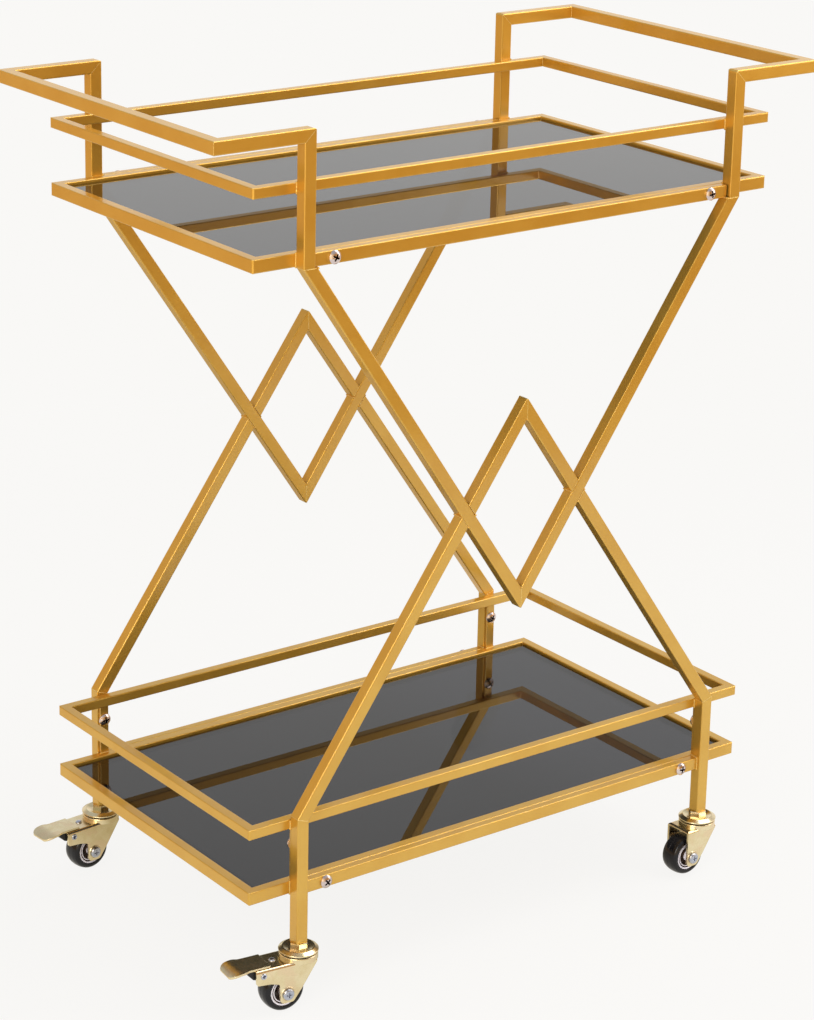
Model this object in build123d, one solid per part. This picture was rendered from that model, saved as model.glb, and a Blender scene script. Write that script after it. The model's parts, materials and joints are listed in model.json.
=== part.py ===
from build123d import *
from math import asin, atan2, cos, degrees, hypot, radians, sin
import os

# Bar cart: two glass shelves in tube rims, crossed side frames, two handles and four casters.
# Millimetres, +X along the long side, +Y to the back, +Z up, origin on the floor at the middle.

# Overall sizes
handle_span = 710
frame_width = 374
handle_height = 850

# Square tube of posts, handles, feet and side frames
tube = 12.7
tube_wall = 1.2
tube_round = 1.2
grip_corner = 3
tip_corner = 2
ring_corner = 2.5

# Trays: a rim round each glass shelf and a guard rail above it
tray_length = 612
post_inset = 46
rim_width = 10
rim_height = 12.7
rim_wall = 1.2
rim_round = 1.0
upper_rim_drop = 113.5
lower_rim_top = 126.5
guard_tube = 10
guard_wall = 1.2
guard_round = 1.0
guard_rise = 64
ledge_width = 8
ledge_thickness = 2
strap_width = 9.5
strap_thickness = 3

# Glass shelves
glass_thickness = 5
glass_recess = 3
glass_play = 1
glass_bevel = 0.5

# Side frames: a V from the posts and an inverted V from the feet cross to a diamond
diamond_low = 358.9
diamond_high = 551.2
knee_rise = 1.8
bar_depth = 8.5
bar_height = 12.7
bar_wall = 1.2
bar_round = 1.0
bar_end_gap = 1.5

# Pan head screws with a cross recess
screw_diameter = 5
screw_bite = 5
head_diameter = 12
head_height = 4
head_round = 2.2
recess_span = 6.4
recess_width = 1.4
recess_depth = 1.6
bar_screw_inset = 22.9
strap_screw_rise = 37

# Clearances
fit_play = 0.1
seat_play = 0.05
overrun = 40

# Caster wheel
wheel_diameter = 43
tyre_width = 20.5
tyre_shoulder_drop = 3.5
hub_diameter = 30
hub_ring = 4
hub_inset = 1
hub_web = 6
hub_boss_diameter = 11
hub_side_play = 0.4
axle_diameter = 6
axle_head_diameter = 11.5
axle_head_height = 3.2
axle_head_round = 1.8
axle_recess_span = 5.6
nut_flats = 10
nut_height = 3.2
axle_end = 0.2

# Caster fork: a bent sheet with a raised race on top
axle_trail = 18.7
fork_sheet = 2.3
fork_fold = 3
fork_corner = 2.5
fork_lobe = 9.2
fork_lobe_corner = 4.5
tyre_side_gap = 3
tyre_headroom = 6.8
race_rise = 3.5
race_radius = 18.9
race_round = 1.2
race_relief_radius = 9.5

# Swivel: cup, balls and the stem that holds them, threaded into the foot
race_gap = 4
ball_play = 0.35
ball_count = 12
cup_radius = 19.4
cup_sheet = 1.5
cup_lift = 1.5
cup_skirt = 1.4
cup_crest_radius = 15.2
cup_dish_radius = 10
cup_dish = 2
cup_edge = 0.5
cup_bend = 1.6
stem_diameter = 8
stem_length = 20
hex_flats = 16
hex_height = 6.6
peen_radius = 6.5
peen_height = 2
insert_length = 24

# Brake of the two left casters
pivot_trail = 44.4
pivot_drop = 6.1
pin_diameter = 4
pin_head_diameter = 6.6
pin_head_height = 1
brake_turn = 18
brake_gap = 0.3
pedal_sheet = 2
pedal_side_play = 0.5
pedal_start = 36.3
pedal_neck = 58
pedal_flare = 5
pedal_flare_round = 8
pedal_tip_width = 30
pedal_tip_round = 9
pedal_reach = 78.5
tip_bend_radius = 36
tip_bend_angle = 26
cheek_sheet = 1.5
cheek_radius = 5
cheek_back = 6
cheek_front = 9
shoe_play = 0.1
shoe_boss_radius = 5.2
shoe_lobe_radius = 3
shoe_front = 16.5
shoe_back = 6
plate_lap = 0.8

# Side views of the forks: shares of the axle's trail and of the fork's height, front to back
plain_outline_shares = [(1.41, 1), (1.39, 0), (0.68, 0), (0.19, 0.31), (-0.77, 1)]
brake_outline_shares = [
    (2.81, 1), (2.75, 0.63), (1.98, 0.6), (1.46, 0.53), (1.41, 0), (0.68, 0), (0.19, 0.31), (-0.77, 1)
]
# Underside of the brake shoe: shares of its reach in front of the pin and of the pin's drop
shoe_outline_shares = [(1, 0.25), (0.55, 1.55), (0.2, 1.85)]

# Headings of the casters as they stand, in degrees
headings = {"front_left": -7, "front_right": 1.5, "back_left": 4.5, "back_right": 0}
braked_corners = ["front_left", "back_left"]

# Derived levels and places
tray_width = frame_width - 2 * tube
post_span = tray_length - 2 * post_inset
post_outer = post_span / 2
post_middle = post_outer - tube / 2
post_inner = post_outer - tube
side_middle = frame_width / 2 - tube / 2
side_inner = tray_width / 2
bar_face = side_inner + bar_depth
axle_height = wheel_diameter / 2
plate_top = wheel_diameter + tyre_headroom + fork_sheet
plate_under = plate_top - fork_sheet
fork_bottom = axle_height - fork_lobe
fork_height = plate_top - fork_bottom
race_top = plate_top + race_rise
cup_crest = race_top + race_gap + cup_sheet
cup_floor = cup_crest - cup_dish
foot_bottom = cup_floor + hex_height
fork_inside = tyre_width + 2 * tyre_side_gap
fork_width = fork_inside + 2 * fork_sheet
upper_rim_top = handle_height - upper_rim_drop
knee_height = lower_rim_top + guard_rise + knee_rise
upper_rim_bottom = upper_rim_top - rim_height
upper_bar_middle = upper_rim_top - bar_height / 2
lower_bar_middle = lower_rim_top - bar_height / 2
screw_hole_radius = screw_diameter / 2 + fit_play


# Square and rectangular tube

def tube_section(width, height, wall, corner):
    """Section of a tube with rounded outer edges."""
    bore = Rectangle(width - 2 * wall, height - 2 * wall)
    return RectangleRounded(width, height, corner) - bore


def keep_side(body, point, facing):
    """Part of a body on the side of a plane through a point that the plane faces."""
    return split(body, bisect_by=Plane(origin=point, z_dir=facing), keep=Keep.TOP)


def tube_between(start, end, section, across, start_cut, end_cut):
    """Tube from start to end, cut at each by a plane: start_cut and end_cut face into the tube."""
    along = (end - start).normalized()
    first = start - along * overrun
    length = (end - start).length + 2 * overrun
    body = extrude(Plane(origin=first, x_dir=across, z_dir=along) * section, amount=length)
    body = keep_side(body, start_cut[0], start_cut[1])
    return keep_side(body, end_cut[0], end_cut[1])


def mitred_tube(before, start, end, after, section, across):
    """Tube from start to end, mitred to the lines that come before it and go on after it."""
    along = (end - start).normalized()
    arriving = (start - before).normalized()
    leaving = (after - end).normalized()
    start_cut = (start, along + arriving)
    end_cut = (end, (along + leaving) * -1)
    return tube_between(start, end, section, across, start_cut, end_cut)


def tube_ring(length, width, top, section_width, section_height, wall, corner):
    """Level ring of four mitred tubes with rounded outer corners, its top face at a given height."""
    x = (length - section_width) / 2
    y = (width - section_width) / 2
    z = top - section_height / 2
    corners = [Vector(x, -y, z), Vector(x, y, z), Vector(-x, y, z), Vector(-x, -y, z)]
    section = tube_section(section_height, section_width, wall, corner)
    runs = []
    for i in range(len(corners)):
        before, start, end, after = [corners[(i + step) % len(corners)] for step in range(-1, 3)]
        runs.append(mitred_tube(before, start, end, after, section, Vector(0, 0, 1)))
    return fuse_all(runs) & extrude(RectangleRounded(length, width, ring_corner), amount=top + tube)


def fuse_all(shapes):
    """One solid from touching or overlapping shapes."""
    whole = shapes[0]
    for shape in shapes[1:]:
        whole = whole + shape
    return whole


def across(radius, length):
    """Cylinder along Y."""
    return Rot(90, 0, 0) * Cylinder(radius, length)


def frame_slab(length, width, inner_length, inner_width, low, high):
    """Flat rectangular ring between two heights."""
    level = Pos(0, 0, (low + high) / 2)
    return level * (Box(length, width, high - low) - Box(inner_length, inner_width, high - low))


# Trays

def tray_rim(top, screw_level):
    """Rim with its glass ledge and the screw holes in its long outer walls."""
    rim = tube_ring(tray_length, tray_width, top, rim_width, rim_height, rim_wall, rim_round)
    inner_length = tray_length - 2 * rim_width
    inner_width = tray_width - 2 * rim_width
    ledge_top = top - glass_recess - glass_thickness
    ledge = frame_slab(inner_length, inner_width, inner_length - 2 * ledge_width,
                       inner_width - 2 * ledge_width, ledge_top - ledge_thickness, ledge_top)
    rim = rim + ledge
    for x in (-bar_screw_x, bar_screw_x):
        for side in (-1, 1):
            hole = across(screw_hole_radius, rim_width)
            rim = rim - Pos(x, side * side_inner, screw_level) * hole
    return rim


def guard_ring(rim_top):
    """Guard rail above a rim."""
    top = rim_top + guard_rise
    return tube_ring(tray_length, tray_width, top, guard_tube, guard_tube, guard_wall, guard_round)


def glass_shelf(rim_top):
    """Glass sheet on the ledge of a rim."""
    length = tray_length - 2 * rim_width - 2 * glass_play
    width = tray_width - 2 * rim_width - 2 * glass_play
    middle = rim_top - glass_recess - glass_thickness / 2
    sheet = Box(length, width, glass_thickness)
    return Pos(0, 0, middle) * chamfer(sheet.edges(), glass_bevel)


def guard_strap():
    """Flat bar inside a foot that joins the lower rim to its guard."""
    low = lower_rim_top
    high = lower_rim_top + guard_rise - guard_tube
    bar = Pos(post_middle, -side_inner + strap_thickness / 2, (low + high) / 2)
    bar = bar * Box(strap_width, strap_thickness, high - low)
    hole = across(screw_hole_radius, strap_thickness + overrun)
    return bar - Pos(post_middle, -side_inner, lower_rim_top + strap_screw_rise) * hole


# Posts and handles

def side_point(x, z, y=-side_middle):
    """Point in the middle plane of the front side frame."""
    return Vector(x, y, z)


def grip_corner_waste():
    """Bars outside the rounded corners where the two right posts meet the handle."""
    length = frame_width + tube
    bar = Pos(post_inner + grip_corner / 2, 0, handle_height - grip_corner / 2)
    bar = bar * Box(grip_corner, length, grip_corner)
    return bar - Pos(post_inner + grip_corner, 0, handle_height - grip_corner) * across(grip_corner, length)


def corner_post():
    """Post from the rim's underside up to the mitre under its handle."""
    low = side_point(post_middle, upper_rim_bottom)
    high = side_point(post_middle, handle_height - tube / 2)
    below = side_point(post_middle, upper_rim_bottom - tube)
    outward = side_point(post_outer + tube, handle_height - tube / 2)
    section = tube_section(tube, tube, tube_wall, tube_round)
    post = mitred_tube(below, low, high, outward, section, Vector(1, 0, 0))
    return post - grip_corner_waste()


def handle():
    """Right handle: arm, cross bar and arm, mitred to each other and to the posts."""
    level = handle_height - tube / 2
    reach = handle_span / 2 - tube / 2
    low_front = side_point(post_middle, upper_rim_bottom)
    low_back = side_point(post_middle, upper_rim_bottom, side_middle)
    path = [
        low_front,
        side_point(post_middle, level),
        side_point(reach, level),
        side_point(reach, level, side_middle),
        side_point(post_middle, level, side_middle),
        low_back,
    ]
    section = tube_section(tube, tube, tube_wall, tube_round)
    runs = []
    for i in range(1, len(path) - 2):
        before, start, end, after = path[i - 1], path[i], path[i + 1], path[i + 2]
        runs.append(mitred_tube(before, start, end, after, section, Vector(0, 0, 1)))
    return fuse_all(runs) - grip_corner_waste()


# Side frame: the front right quarter, mirrored for the rest

def v_slope():
    """Angle of the V arm, whose outer edge meets the post's outer edge at the rim's underside."""
    rise = upper_rim_bottom - diamond_low
    return atan2(rise, post_outer) + asin(tube / 2 / hypot(rise, post_outer))


v_angle = v_slope()
brace_angle = atan2(diamond_high - knee_height, post_middle)
v_along = Vector(cos(v_angle), 0, sin(v_angle))
v_outward = Vector(sin(v_angle), 0, -cos(v_angle))
brace_along = Vector(-cos(brace_angle), 0, sin(brace_angle))
crossing_x = (diamond_high - diamond_low) / (
    sin(v_angle) / cos(v_angle) + sin(brace_angle) / cos(brace_angle))
crossing_z = diamond_low + crossing_x * sin(v_angle) / cos(v_angle)
frame_section = tube_section(tube, tube, tube_wall, tube_round)
frame_across = Vector(0, 1, 0)


def tip_corner_waste(level, slope, way):
    """Bar outside the rounded corner of a tip on the middle plane that points up (1) or down (-1)."""
    tip = level + way * tube / 2 / cos(slope)
    centre = tip - way * tip_corner / cos(slope)
    touch = centre + way * tip_corner * cos(slope)
    bar = Pos(0, -side_middle, (tip + touch) / 2)
    bar = bar * Box(2 * tip_corner * sin(slope), tube, abs(tip - touch))
    return bar - Pos(0, -side_middle, centre) * across(tip_corner, tube)


def v_arm():
    """Arm of the V from its tip on the middle plane up to the post and the top bar."""
    tip = side_point(0, diamond_low)
    top = tip + v_along * ((upper_rim_bottom - diamond_low) / sin(v_angle))
    middle_cut = (tip, Vector(1, 0, 0))
    level_cut = (top, Vector(0, 0, -1))
    arm = tube_between(tip, top, frame_section, frame_across, middle_cut, level_cut)
    return arm - tip_corner_waste(diamond_low, v_angle, -1)


def foot():
    """Foot from the caster up to the knee, with the hole for the strap's screw."""
    low = side_point(post_middle, foot_bottom)
    below = side_point(post_middle, foot_bottom - tube)
    knee = side_point(post_middle, knee_height)
    leg = mitred_tube(below, low, knee, knee + brace_along, frame_section, frame_across)
    hole = across(screw_hole_radius, tube)
    return leg - Pos(post_middle, -side_inner, lower_rim_top + strap_screw_rise) * hole


def brace():
    """Brace from the knee up to the lower face of the V arm."""
    knee = side_point(post_middle, knee_height)
    crossing = side_point(crossing_x, crossing_z)
    knee_cut = (knee, brace_along + Vector(0, 0, 1))
    crossing_cut = (crossing + v_outward * (tube / 2), v_outward)
    return tube_between(knee, crossing, frame_section, frame_across, knee_cut, crossing_cut)


def peak():
    """Continuation of the brace from the upper face of the V arm to the diamond's top."""
    crossing = side_point(crossing_x, crossing_z)
    top = side_point(0, diamond_high)
    crossing_cut = (crossing - v_outward * (tube / 2), v_outward * -1)
    middle_cut = (top, Vector(1, 0, 0))
    tube_run = tube_between(crossing, top, frame_section, frame_across, crossing_cut, middle_cut)
    return tube_run - tip_corner_waste(diamond_high, brace_angle, 1)


# Bars that carry the trays, and their screws

bar_screw_x = post_inner - bar_screw_inset


def tray_bar(half_length, level):
    """Flat tube outside a rim's long side, with clearance holes for two screws."""
    section = tube_section(bar_height, bar_depth, bar_wall, bar_round)
    middle_y = -side_inner - bar_depth / 2
    start = Plane(origin=(-half_length, middle_y, level), x_dir=(0, 0, 1), z_dir=(1, 0, 0))
    bar = extrude(start * section, amount=2 * half_length)
    for x in (-bar_screw_x, bar_screw_x):
        hole = across(screw_hole_radius, bar_depth + overrun)
        bar = bar - Pos(x, middle_y, level) * hole
    return bar


def cross_recess(span, depth, top):
    """Cross-shaped recess that goes down from a height."""
    blade = Box(span, recess_width, depth)
    return Pos(0, 0, top - depth / 2) * (blade + Rot(0, 0, 90) * blade)


def pan_head(diameter, height, rounding, span):
    """Screw head that stands on zero, with its cross recess."""
    head = Pos(0, 0, height / 2) * Cylinder(diameter / 2, height)
    head = fillet(head.edges().group_by(Axis.Z)[-1], rounding)
    return head - cross_recess(span, recess_depth, height)


def screw(grip):
    """Screw along -Z whose head stands on zero and whose shank goes through grip and bites."""
    length = grip + screw_bite
    shank = Pos(0, 0, -length / 2) * Cylinder(screw_diameter / 2, length)
    return pan_head(head_diameter, head_height, head_round, recess_span) + shank


def frame_screws():
    """Screws of one long side: four through the bars and two through the straps."""
    screws = []
    for x in (-bar_screw_x, bar_screw_x):
        for level in (upper_bar_middle, lower_bar_middle):
            place = Pos(x, -bar_face, level) * Rot(90, 0, 0)
            screws.append(place * screw(bar_depth + rim_wall))
    for x in (-post_middle, post_middle):
        place = Pos(x, -side_inner + strap_thickness, lower_rim_top + strap_screw_rise)
        screws.append(place * Rot(-90, 0, 0) * screw(strap_thickness + tube_wall))
    return screws


# Swivel: everything here stays with the foot; local origin on the swivel axis at floor level

def leg_insert():
    """Square plug in the foot's lower end, bored for the stem."""
    side = tube - 2 * tube_wall - 2 * fit_play
    plug = Box(side, side, insert_length) - Cylinder(stem_diameter / 2 + fit_play, insert_length)
    return Pos(0, 0, foot_bottom + insert_length / 2) * plug


def caster_stem():
    """Stem with its hexagon collar; its lower end is peened over under the fork's race."""
    peen_top = race_top - fork_sheet - fit_play
    low = peen_top - peen_height
    high = foot_bottom + stem_length
    core = Pos(0, 0, (low + high) / 2) * Cylinder(stem_diameter / 2, high - low)
    peen = Pos(0, 0, peen_top - peen_height / 2) * Cylinder(peen_radius, peen_height)
    collar = extrude(Pos(0, 0, cup_floor) * RegularPolygon(hex_flats / 2, 6, major_radius=False),
                     amount=hex_height)
    return core + peen + collar


def swivel_cup():
    """Domed pressing that covers the balls, dished round the collar."""
    bore = stem_diameter / 2 + fit_play
    skirt_low = race_top + cup_lift
    shoulder = skirt_low + cup_skirt
    inner = cup_radius - cup_sheet
    outline = [
        (bore, cup_floor), (cup_dish_radius, cup_floor), (cup_crest_radius, cup_crest),
        (cup_radius, shoulder), (cup_radius, skirt_low),
        (inner, skirt_low), (inner, shoulder - cup_edge), (cup_crest_radius, cup_crest - cup_sheet),
        (cup_dish_radius, cup_floor - cup_sheet), (bore, cup_floor - cup_sheet),
    ]
    bends = [0, cup_bend, cup_bend, cup_edge, cup_edge, cup_edge, cup_edge, cup_edge, cup_bend, 0]
    face = make_face(Plane.XZ * FilletPolyline(*outline, radius=bends, close=True))
    return revolve(face, Axis.Z)


def swivel_balls():
    """Ring of balls between the fork's race and the cup."""
    radius = race_gap / 2 - ball_play
    ring = []
    for i in range(ball_count):
        turn = Rot(0, 0, i * 360 / ball_count)
        ring.append(turn * Pos(cup_crest_radius, 0, race_top + radius + fit_play) * Sphere(radius))
    return ring


# Fork: turns on the stem; the wheel trails towards -X

axle_place = Pos(-axle_trail, 0, axle_height)
pivot_height = plate_top - pivot_drop
pivot_place = Pos(-pivot_trail, 0, pivot_height)


def caster_fork(outline_shares, braked):
    """Sheet folded down on both sides of the wheel, under the raised race."""
    outline = [(-a * axle_trail, fork_bottom + z * fork_height) for a, z in outline_shares]
    bends = [fork_lobe_corner if z == 0 else fork_corner for a, z in outline_shares]
    side = make_face(Plane.XZ * FilletPolyline(*outline, radius=bends, close=True))
    slab = extrude(side, amount=fork_width / 2, both=True)
    outer = RectangleRounded(fork_width, 2 * plate_top, fork_fold)
    inner = Rectangle(fork_inside, 2 * plate_under)
    fold = extrude(Plane.YZ * (outer - inner), amount=pivot_trail + overrun, both=True)
    fork = slab & fold
    if braked:
        room = Box(pivot_trail, fork_inside, 2 * fork_sheet)
        fork = fork - Pos(-pedal_start - pivot_trail / 2 + pedal_side_play, 0, plate_top) * room
    race_height = race_top - plate_under
    race = Pos(0, 0, plate_under + race_height / 2) * Cylinder(race_radius, race_height)
    race = fillet(race.edges().group_by(Axis.Z)[-1], race_round)
    relief_height = race_height - fork_sheet
    relief = Pos(0, 0, plate_under + relief_height / 2)
    fork = fork + race - relief * Cylinder(race_relief_radius, relief_height)
    fork = fork - Pos(0, 0, race_top) * Cylinder(stem_diameter / 2 + fit_play, 2 * race_height)
    fork = fork - axle_place * across(axle_diameter / 2 + fit_play, fork_width)
    if braked:
        fork = fork - pivot_place * across(pin_diameter / 2 + fit_play, fork_width)
    return fork


def axle_bolt():
    """Axle with a pan head in front, and its nut at the back."""
    face = fork_width / 2
    end = face + nut_height + axle_end
    head = Rot(90, 0, 0) * pan_head(axle_head_diameter, axle_head_height, axle_head_round,
                                    axle_recess_span)
    shank = Pos(0, (end - face) / 2, 0) * across(axle_diameter / 2, end + face)
    bolt = Pos(0, -face, 0) * head + shank
    ring = RegularPolygon(nut_flats / 2, 6, major_radius=False) - Circle(axle_diameter / 2 + fit_play)
    nut = extrude(Plane(origin=(0, face, 0), x_dir=(1, 0, 0), z_dir=(0, 1, 0)) * ring,
                  amount=nut_height)
    return [axle_place * bolt, axle_place * nut]


def pivot_pin():
    """Brake pin with a flat head at each end."""
    face = fork_width / 2
    pin = across(pin_diameter / 2, fork_width)
    for side in (-1, 1):
        pin = pin + Pos(0, side * (face + pin_head_height / 2), 0) * across(
            pin_head_diameter / 2, pin_head_height)
    return pivot_place * pin


# Wheel

def wheel_body(half_outline):
    """Body of revolution about the axle from points (across, radius) of its front half."""
    back_half = [(-n, r) for n, r in reversed(half_outline)]
    points = [(n, -r) for n, r in half_outline + back_half]
    return axle_place * revolve(make_face(Plane.YZ * Polyline(*points, close=True)), Axis.Y)


def hub():
    """Wheel centre: boss, web and ring."""
    bore = axle_diameter / 2 + fit_play
    boss = hub_boss_diameter / 2
    ring = hub_diameter / 2 - hub_ring
    boss_end = fork_inside / 2 - hub_side_play
    ring_end = tyre_width / 2 - hub_inset
    half = [
        (-boss_end, bore), (-boss_end, boss), (-hub_web / 2, boss), (-hub_web / 2, ring),
        (-ring_end, ring), (-ring_end, hub_diameter / 2),
    ]
    return wheel_body(half)


def tyre():
    """Tyre with a crowned tread."""
    side = tyre_width / 2
    bore = hub_diameter / 2 + seat_play
    tread = wheel_diameter / 2
    shoulder = tread - tyre_shoulder_drop
    walls = Plane.YZ * Polyline((side, -shoulder), (side, -bore), (-side, -bore), (-side, -shoulder))
    crown = Plane.YZ * ThreePointArc((-side, -shoulder), (0, -tread), (side, -shoulder))
    return axle_place * revolve(make_face(walls + crown), Axis.Y)


# Brake: the pedal and its shoe tip together on the pin

pedal_width = fork_inside - 2 * pedal_side_play
pedal_under = plate_top
pedal_top = pedal_under + pedal_sheet


def pedal_side():
    """Side view of the pedal's plate, straight and then bent down at the tip."""
    bend = radians(tip_bend_angle)
    half_bend = bend / 2
    centre = pedal_top - tip_bend_radius
    neck = pedal_neck + pedal_flare
    small = tip_bend_radius - pedal_sheet

    def on_arc(radius, angle):
        return (-neck - radius * sin(angle), centre + radius * cos(angle))

    lines = [
        Line((-pedal_start, pedal_top), (-neck, pedal_top)),
        ThreePointArc((-neck, pedal_top), on_arc(tip_bend_radius, half_bend), on_arc(tip_bend_radius, bend)),
        Line(on_arc(tip_bend_radius, bend), on_arc(small, bend)),
        ThreePointArc(on_arc(small, bend), on_arc(small, half_bend), (-neck, pedal_under)),
        Line((-neck, pedal_under), (-pedal_start, pedal_under)),
        Line((-pedal_start, pedal_under), (-pedal_start, pedal_top)),
    ]
    return make_face(Plane.XZ * Curve(children=lines))


def pedal_plan():
    """Top view of the pedal: a straight neck and a flared tip with round corners."""
    neck = pedal_width / 2
    tip = pedal_tip_width / 2
    flare = pedal_neck + pedal_flare
    outline = [
        (-pedal_start, -neck), (-pedal_neck, -neck), (-flare, -tip), (-pedal_reach, -tip),
        (-pedal_reach, tip), (-flare, tip), (-pedal_neck, neck), (-pedal_start, neck),
    ]
    bends = [0, pedal_flare_round, pedal_flare_round, pedal_tip_round,
             pedal_tip_round, pedal_flare_round, pedal_flare_round, 0]
    return make_face(FilletPolyline(*outline, radius=bends, close=True))


def brake_pedal():
    """Pedal with a cheek on each side that hangs on the pin."""
    plate = extrude(pedal_side(), amount=pedal_tip_width, both=True)
    plate = plate & extrude(pedal_plan(), amount=pedal_top + pedal_sheet)
    top = pedal_top - plate_lap
    skirt = Polygon((-pivot_trail - cheek_front, top), (-pivot_trail + cheek_back, top),
                    (-pivot_trail + cheek_radius, pivot_height),
                    (-pivot_trail - cheek_radius, pivot_height), align=None)
    profile = Plane.XZ * (skirt + Pos(-pivot_trail, pivot_height) * Circle(cheek_radius))
    cheek = extrude(profile, amount=cheek_sheet / 2, both=True)
    pedal = plate
    for side in (-1, 1):
        pedal = pedal + Pos(0, side * (pedal_width - cheek_sheet) / 2, 0) * cheek
    return pedal - pivot_place * across(pin_diameter / 2 + fit_play, fork_width)


def brake_shoe():
    """Shoe under the pedal; its lobe comes up to the tyre when the pedal is down."""
    to_axle_x = pivot_trail - axle_trail
    to_axle_z = pivot_height - axle_height
    reach = hypot(to_axle_x, to_axle_z) - wheel_diameter / 2 - brake_gap - shoe_lobe_radius
    aim = atan2(to_axle_z, to_axle_x) + radians(brake_turn)
    lobe = Pos(-pivot_trail + reach * cos(aim), pivot_height - reach * sin(aim))
    boss = Pos(-pivot_trail, pivot_height)
    arm = make_hull([*(boss * Circle(shoe_boss_radius)).edges(), *(lobe * Circle(shoe_lobe_radius)).edges()])
    under = [(-pivot_trail - a * shoe_front, pedal_under - z * pivot_drop) for a, z in shoe_outline_shares]
    block = Polygon((-pivot_trail + shoe_back, pedal_under), (-pivot_trail - shoe_front, pedal_under),
                    *under, (-pivot_trail + shoe_back, pivot_height), align=None)
    width = pedal_width - 2 * cheek_sheet - 2 * shoe_play
    shoe = extrude(Plane.XZ * (arm + block), amount=width / 2, both=True)
    return shoe - pivot_place * across(pin_diameter / 2 + fit_play, width)


# Assembly

corner_sides = {
    "front_right": (1, 1), "front_left": (-1, 1), "back_right": (1, -1), "back_left": (-1, -1)
}


def mirrored(shape, sides):
    """Front right shape, mirrored to another corner."""
    if sides[0] < 0:
        shape = mirror(shape, about=Plane.YZ)
    if sides[1] < 0:
        shape = mirror(shape, about=Plane.XZ)
    return shape


nodes = {
    "upper_tray_rim": tray_rim(upper_rim_top, upper_bar_middle),
    "upper_guard_rail": guard_ring(upper_rim_top),
    "lower_tray_rim": tray_rim(lower_rim_top, lower_bar_middle),
    "lower_guard_rail": guard_ring(lower_rim_top),
    "upper_glass": glass_shelf(upper_rim_top),
    "lower_glass": glass_shelf(lower_rim_top),
    "right_handle": handle(),
    "left_handle": mirror(handle(), about=Plane.YZ),
    "front_top_bar": tray_bar(post_inner - bar_end_gap, upper_bar_middle),
    "front_lower_bar": tray_bar(post_inner, lower_bar_middle),
}
nodes["back_top_bar"] = mirror(nodes["front_top_bar"], about=Plane.XZ)
nodes["back_lower_bar"] = mirror(nodes["front_lower_bar"], about=Plane.XZ)

quarter = {"post": corner_post(), "v_arm": v_arm(), "foot": foot(), "brace": brace(), "peak": peak()}
groups = {"frame_screws": [], "guard_straps": [], "leg_inserts": [], "caster_stems": [],
          "swivel_cups": [], "swivel_balls": []}
for screw_body in frame_screws():
    groups["frame_screws"] += [screw_body, mirror(screw_body, about=Plane.XZ)]

for corner_name, sides in corner_sides.items():
    for piece, shape in quarter.items():
        nodes[f"{corner_name}_{piece}"] = mirrored(shape, sides)
    groups["guard_straps"].append(mirrored(guard_strap(), sides))
    corner_place = Pos(sides[0] * post_middle, -sides[1] * side_middle, 0)
    groups["leg_inserts"].append(corner_place * leg_insert())
    groups["caster_stems"].append(corner_place * caster_stem())
    groups["swivel_cups"].append(corner_place * swivel_cup())
    groups["swivel_balls"] += [corner_place * ball for ball in swivel_balls()]
    caster_place = corner_place * Rot(0, 0, headings[corner_name])
    braked = corner_name in braked_corners
    outline_shares = brake_outline_shares if braked else plain_outline_shares
    nodes[f"{corner_name}_caster_fork"] = caster_place * caster_fork(outline_shares, braked)
    nodes[f"{corner_name}_tyre"] = caster_place * tyre()
    nodes[f"{corner_name}_hub"] = caster_place * hub()
    groups[f"{corner_name}_axle_bolt"] = [caster_place * body for body in axle_bolt()]
    if braked:
        nodes[f"{corner_name}_brake_pedal"] = caster_place * brake_pedal()
        nodes[f"{corner_name}_brake_shoe"] = caster_place * brake_shoe()
        nodes[f"{corner_name}_brake_pin"] = caster_place * pivot_pin()

for group_name, bodies in groups.items():
    nodes[group_name] = Compound(children=bodies)

os.makedirs("parts", exist_ok=True)
for node_name, shape in nodes.items():
    export_step(shape, f"parts/{node_name}.step")

print("nodes", len(nodes))
print("V arm slope", round(degrees(v_angle), 2), "brace slope", round(degrees(brace_angle), 2))
print("crossing", round(crossing_x, 1), round(crossing_z, 1), "foot bottom", round(foot_bottom, 1))
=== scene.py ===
# %% [markdown]
# # Bar cart
# A two-tier cart of gold-painted square tube, with smoked glass shelves and four swivel casters.
# The metalwork comes in as a finished frame, in metres and in its place, so this lesson does not
# move it. It lights the cart, gives every surface its finish, and adds what a plain frame lacks:
# weld beads, domed screws, moulded wheels and rivets.

# %% Load the frame
import json
from math import cos, pi, radians, sin, tan

import bmesh
import bpy
from mathutils import Matrix, Vector


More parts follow.
